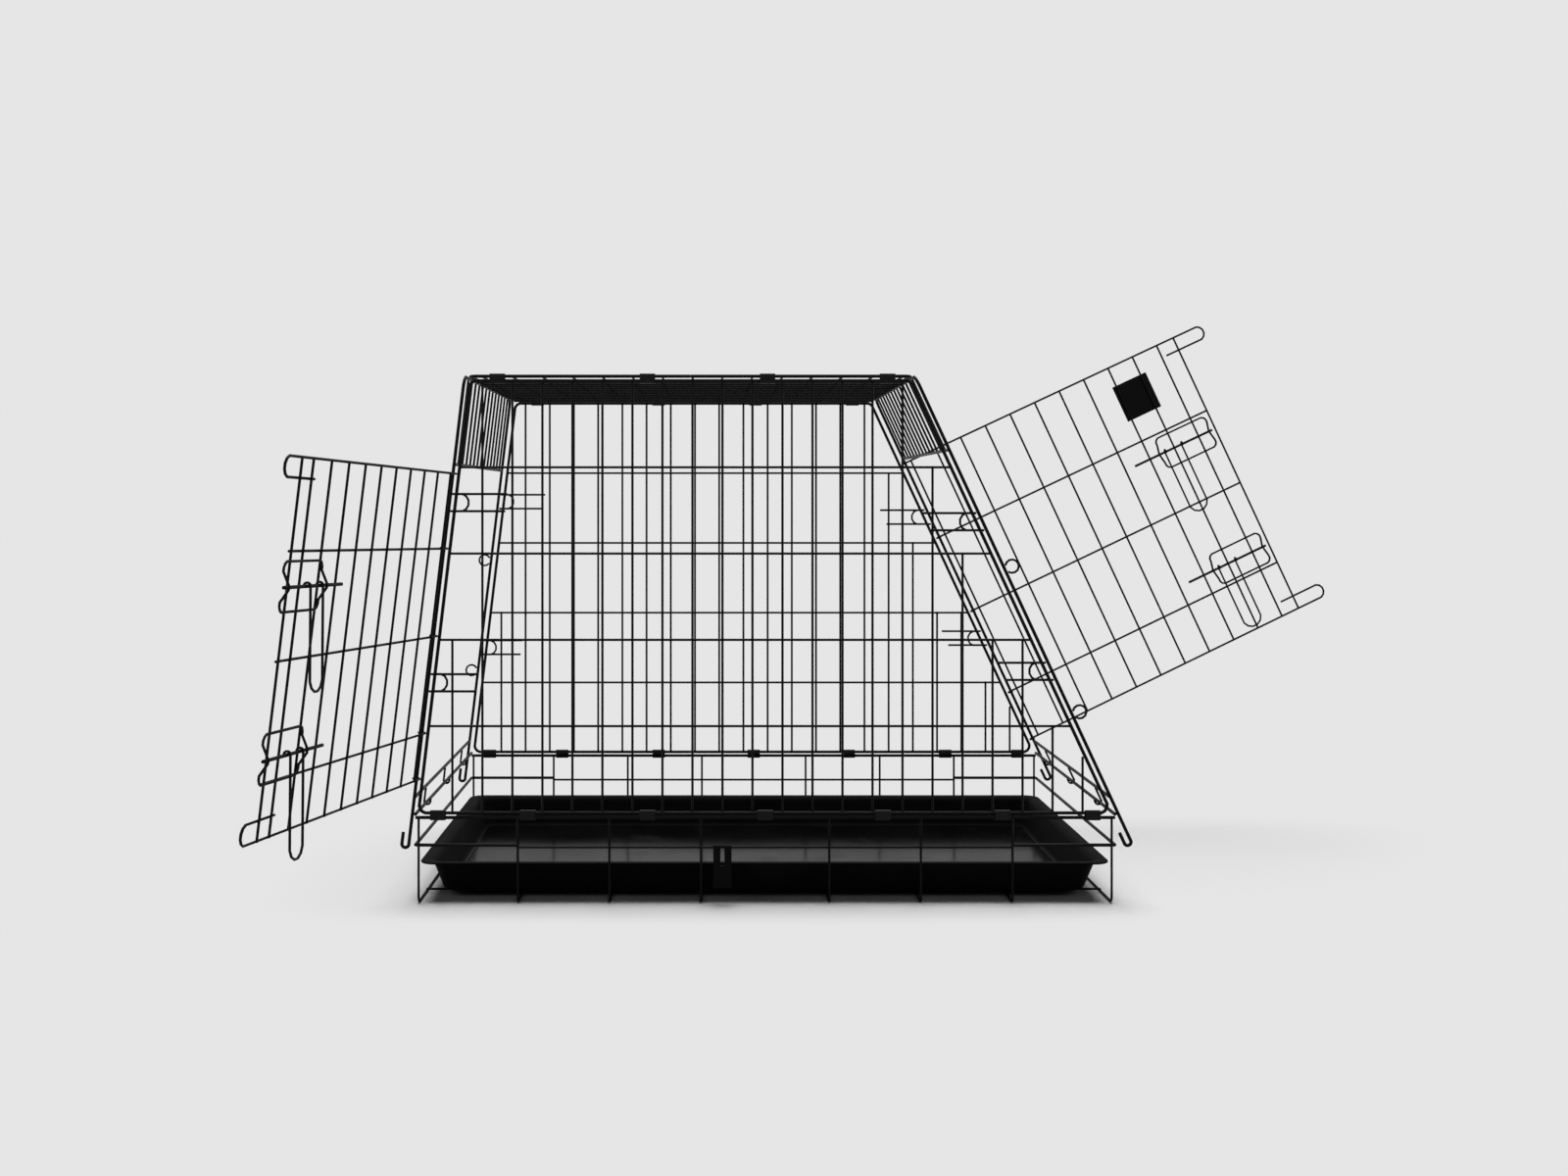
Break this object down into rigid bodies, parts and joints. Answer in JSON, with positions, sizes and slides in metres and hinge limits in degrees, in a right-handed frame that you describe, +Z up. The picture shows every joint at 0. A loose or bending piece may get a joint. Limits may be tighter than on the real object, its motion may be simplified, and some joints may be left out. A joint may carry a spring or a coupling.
{
  "type": "folding pet crate",
  "caption": "Black wire pet crate with sloping ends, a swinging door at each end, slide bolts, a folding body and a loose plastic floor tray.",
  "frame": {"origin": "on the floor under the middle of the base", "axes": "+X along the crate towards the steep front end, +Y towards the far side, +Z up"},
  "size_m": [1.4963, 1.0745, 0.8141],
  "materials": {
    "coated_wire": "satin black coating on steel wire",
    "clip_strip": "satin black coated steel strip",
    "tray_plastic": "moulded black plastic with a soft sheen",
    "latch_plastic": "moulded black plastic",
    "plate_plastic": "bare black plate"
  },
  "bodies": {
    "base": {"base_cross_wires": "coated_wire", "base_end_hoops": "coated_wire", "base_side_rails": "coated_wire", "base_end_rails": "coated_wire", "base_side_wires": "coated_wire", "base_floor_wires": "coated_wire", "base_hinge_clips": "clip_strip", "rear_end_frame": "coated_wire", "rear_end_rails": "coated_wire", "rear_end_uprights": "coated_wire", "rear_hinge_eyes": "coated_wire", "rear_keepers": "coated_wire", "front_end_frame": "coated_wire", "front_end_rails": "coated_wire", "front_end_uprights": "coated_wire", "front_hinge_eyes": "coated_wire", "front_keepers": "coated_wire"},
    "near_side": {"near_side_frame": "coated_wire", "near_side_uprights": "coated_wire", "near_side_crossbars": "coated_wire", "near_side_lock_wires": "coated_wire", "near_side_lock_loops": "coated_wire"},
    "far_side": {"far_side_frame": "coated_wire", "far_side_uprights": "coated_wire", "far_side_crossbars": "coated_wire", "far_side_lock_wires": "coated_wire", "far_side_lock_loops": "coated_wire"},
    "top": {"top_frame": "coated_wire", "top_cross_wires": "coated_wire", "top_long_wires": "coated_wire", "top_hinge_clips": "clip_strip"},
    "rear_door": {"rear_door_crossbars": "coated_wire", "rear_door_uprights": "coated_wire", "rear_door_bolt_guides": "coated_wire"},
    "front_door": {"front_door_crossbars": "coated_wire", "front_door_uprights": "coated_wire", "front_door_bolt_guides": "coated_wire", "front_door_plate": "plate_plastic"},
    "tray": {"tray": "tray_plastic"},
    "tray_latch": {"tray_latch": "latch_plastic"},
    "rear_upper_bolt": {"rear_upper_bolt": "coated_wire"},
    "rear_upper_handle": {"rear_upper_handle": "coated_wire"},
    "rear_lower_bolt": {"rear_lower_bolt": "coated_wire"},
    "rear_lower_handle": {"rear_lower_handle": "coated_wire"},
    "front_upper_bolt": {"front_upper_bolt": "coated_wire"},
    "front_upper_handle": {"front_upper_handle": "coated_wire"},
    "front_lower_bolt": {"front_lower_bolt": "coated_wire"},
    "front_lower_handle": {"front_lower_handle": "coated_wire"}
  },
  "joints": [
    {"name": "side_fold", "type": "hinge", "parent": "base", "child": "far_side", "pos_m": [0, 0.265, 0.119], "axis": [1, 0, 0], "range_deg": [-86, 0]},
    {"name": "near_side_fold", "type": "hinge", "parent": "base", "child": "near_side", "pos_m": [0, -0.265, 0.119], "axis": [1, 0, 0], "range_deg": [-86, 0]},
    {"name": "top_fold", "type": "hinge", "parent": "far_side", "child": "top", "pos_m": [0, 0.265, 0.684], "axis": [1, 0, 0], "range_deg": [0, 86]},
    {"name": "rear_door_swing", "type": "hinge", "parent": "base", "child": "rear_door", "pos_m": [-0.40919, -0.259, 0.563], "axis": [0.1184, 0, 0.993], "range_deg": [-168.4, 14]},
    {"name": "rear_upper_bolt_slide", "type": "slide", "parent": "rear_door", "child": "rear_upper_bolt", "axis": [-0.1997, -0.9796, 0.0238], "range_m": [0, 0.038]},
    {"name": "rear_upper_handle_swing", "type": "hinge", "parent": "rear_upper_bolt", "child": "rear_upper_handle", "pos_m": [-0.49537, -0.67478, 0.4373], "axis": [-0.1997, -0.9796, 0.0238], "range_deg": [-6.8, 153.2]},
    {"name": "rear_lower_bolt_slide", "type": "slide", "parent": "rear_door", "child": "rear_lower_bolt", "axis": [-0.1997, -0.9796, 0.0238], "range_m": [0, 0.038]},
    {"name": "rear_lower_handle_swing", "type": "hinge", "parent": "rear_lower_bolt", "child": "rear_lower_handle", "pos_m": [-0.51661, -0.67478, 0.25921], "axis": [-0.1997, -0.9796, 0.0238], "range_deg": [-6.8, 153.2]},
    {"name": "front_door_swing", "type": "hinge", "parent": "base", "child": "front_door", "pos_m": [0.24476, 0.259, 0.587], "axis": [-0.421, 0, 0.907], "range_deg": [-95, 85]},
    {"name": "front_upper_bolt_slide", "type": "slide", "parent": "front_door", "child": "front_upper_bolt", "axis": [0.9036, 0.0872, 0.4194], "range_m": [0, 0.038]},
    {"name": "front_upper_handle_swing", "type": "hinge", "parent": "front_upper_bolt", "child": "front_upper_handle", "pos_m": [0.69411, 0.31003, 0.6133], "axis": [0.9036, 0.0872, 0.4194], "range_deg": [0, 160]},
    {"name": "front_lower_bolt_slide", "type": "slide", "parent": "front_door", "child": "front_lower_bolt", "axis": [0.9036, 0.0872, 0.4194], "range_m": [0, 0.038]},
    {"name": "front_lower_handle_swing", "type": "hinge", "parent": "front_lower_bolt", "child": "front_lower_handle", "pos_m": [0.78272, 0.31003, 0.4224], "axis": [0.9036, 0.0872, 0.4194], "range_deg": [0, 160]},
    {"name": "tray_slide", "type": "slide", "parent": "base", "child": "tray", "axis": [-1, 0, 0], "range_m": [0, 0.88]},
    {"name": "tray_latch_swing", "type": "hinge", "parent": "base", "child": "tray_latch", "pos_m": [-0.056, -0.26435, 0.074], "axis": [1, 0, 0], "range_deg": [-150, 0]}
  ],
  "couplings": [
    {"joint": "near_side_fold", "follows": "side_fold", "ratio": 1},
    {"joint": "top_fold", "follows": "side_fold", "ratio": -1}
  ]
}
